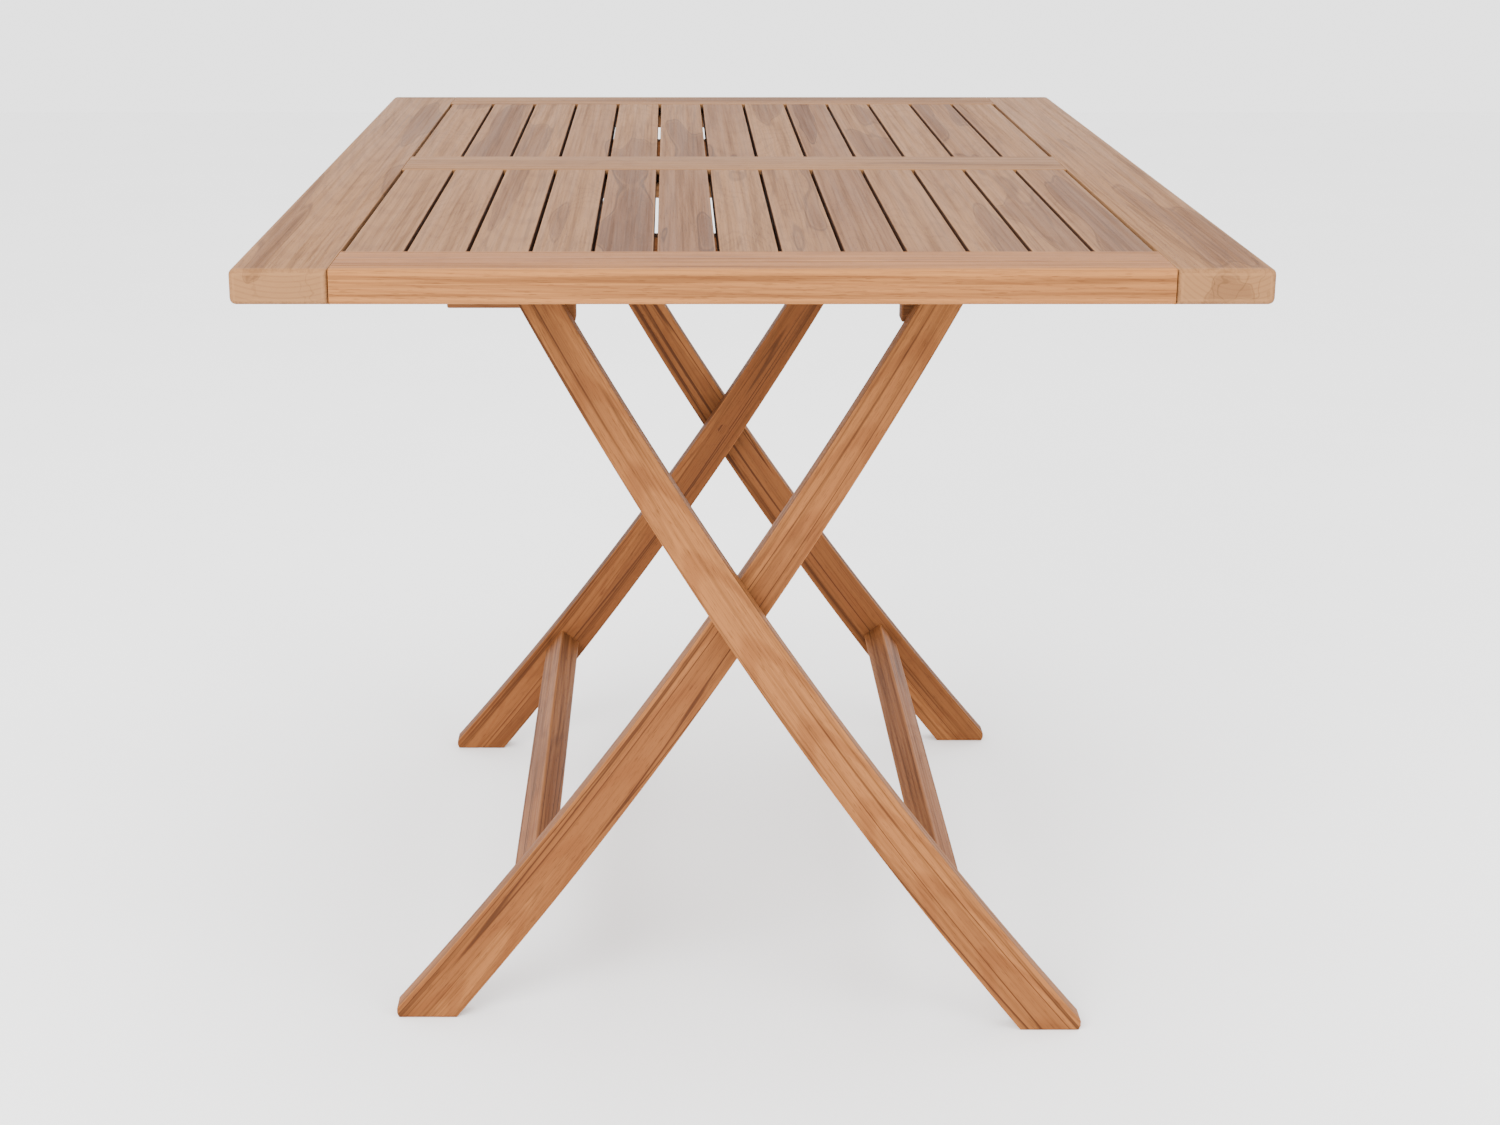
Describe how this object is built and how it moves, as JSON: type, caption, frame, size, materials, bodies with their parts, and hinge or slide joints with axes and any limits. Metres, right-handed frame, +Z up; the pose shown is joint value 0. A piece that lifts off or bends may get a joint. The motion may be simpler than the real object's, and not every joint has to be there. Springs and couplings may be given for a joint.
{
  "type": "folding picnic table",
  "caption": "Folding wooden picnic table: slatted rectangular top in a rail frame on crossing arced leg frames that fold flat under it.",
  "frame": {"origin": "middle of the table's footprint on the floor", "axes": "+X across the top, +Y along the top towards the rear end rail, +Z up"},
  "size_m": [0.8, 1.2, 0.75],
  "materials": {
    "teak_top": "sanded, slightly greyed",
    "teak_leg": "sanded, oiled",
    "teak_support": "sanded, unlit underside",
    "steel": "satin",
    "brass": "satin"
  },
  "bodies": {
    "top": {"side_rail_left": "teak_top", "side_rail_right": "teak_top", "end_rail_front": "teak_top", "centre_rail": "teak_top", "end_rail_rear": "teak_top", "slat_front_01": "teak_top", "slat_front_02": "teak_top", "slat_front_03": "teak_top", "slat_front_04": "teak_top", "slat_front_05": "teak_top", "slat_front_06": "teak_top", "slat_front_07": "teak_top", "slat_front_08": "teak_top", "slat_front_09": "teak_top", "slat_front_10": "teak_top", "slat_front_11": "teak_top", "slat_front_12": "teak_top", "slat_front_13": "teak_top", "slat_rear_01": "teak_top", "slat_rear_02": "teak_top", "slat_rear_03": "teak_top", "slat_rear_04": "teak_top", "slat_rear_05": "teak_top", "slat_rear_06": "teak_top", "slat_rear_07": "teak_top", "slat_rear_08": "teak_top", "slat_rear_09": "teak_top", "slat_rear_10": "teak_top", "slat_rear_11": "teak_top", "slat_rear_12": "teak_top", "slat_rear_13": "teak_top", "batten_front": "teak_support", "batten_rear": "teak_support", "hinge_block_front": "teak_support", "hinge_block_rear": "teak_support", "hinge_washer_front": "brass", "hinge_washer_rear": "brass", "button_screw_front": "brass", "button_screw_rear": "brass"},
    "outer_frame": {"outer_leg_front": "teak_leg", "outer_leg_rear": "teak_leg", "outer_stretcher": "teak_leg", "hinge_bolt_front": "steel", "hinge_bolt_rear": "steel", "pivot_bolt_front": "steel", "pivot_bolt_rear": "steel"},
    "inner_frame": {"inner_leg_front": "teak_leg", "inner_leg_rear": "teak_leg", "inner_stretcher": "teak_leg", "top_bar": "teak_leg", "pivot_plug_front": "teak_leg", "pivot_plug_rear": "teak_leg", "pivot_washer_front": "brass", "pivot_washer_rear": "brass"},
    "turn_button_front": {"turn_button_front": "brass"},
    "turn_button_rear": {"turn_button_rear": "brass"}
  },
  "joints": [
    {"name": "leg_fold", "type": "hinge", "parent": "top", "child": "outer_frame", "pos_m": [-0.17768, 0, 0.68945], "axis": [0, -1, 0], "range_deg": [0, 50]},
    {"name": "leg_crossing", "type": "hinge", "parent": "outer_frame", "child": "inner_frame", "pos_m": [0, 0, 0.395], "axis": [0, -1, 0], "range_deg": [-100, 0]},
    {"name": "button_turn_front", "type": "hinge", "parent": "top", "child": "turn_button_front", "pos_m": [0.2035, -0.3117, 0.719], "axis": [0, 1, 0], "range_deg": [0, 90]},
    {"name": "button_turn_rear", "type": "hinge", "parent": "top", "child": "turn_button_rear", "pos_m": [0.2035, 0.3117, 0.719], "axis": [0, 1, 0], "range_deg": [0, 90]}
  ],
  "couplings": [
    {"joint": "leg_crossing", "follows": "leg_fold", "ratio": -2}
  ]
}
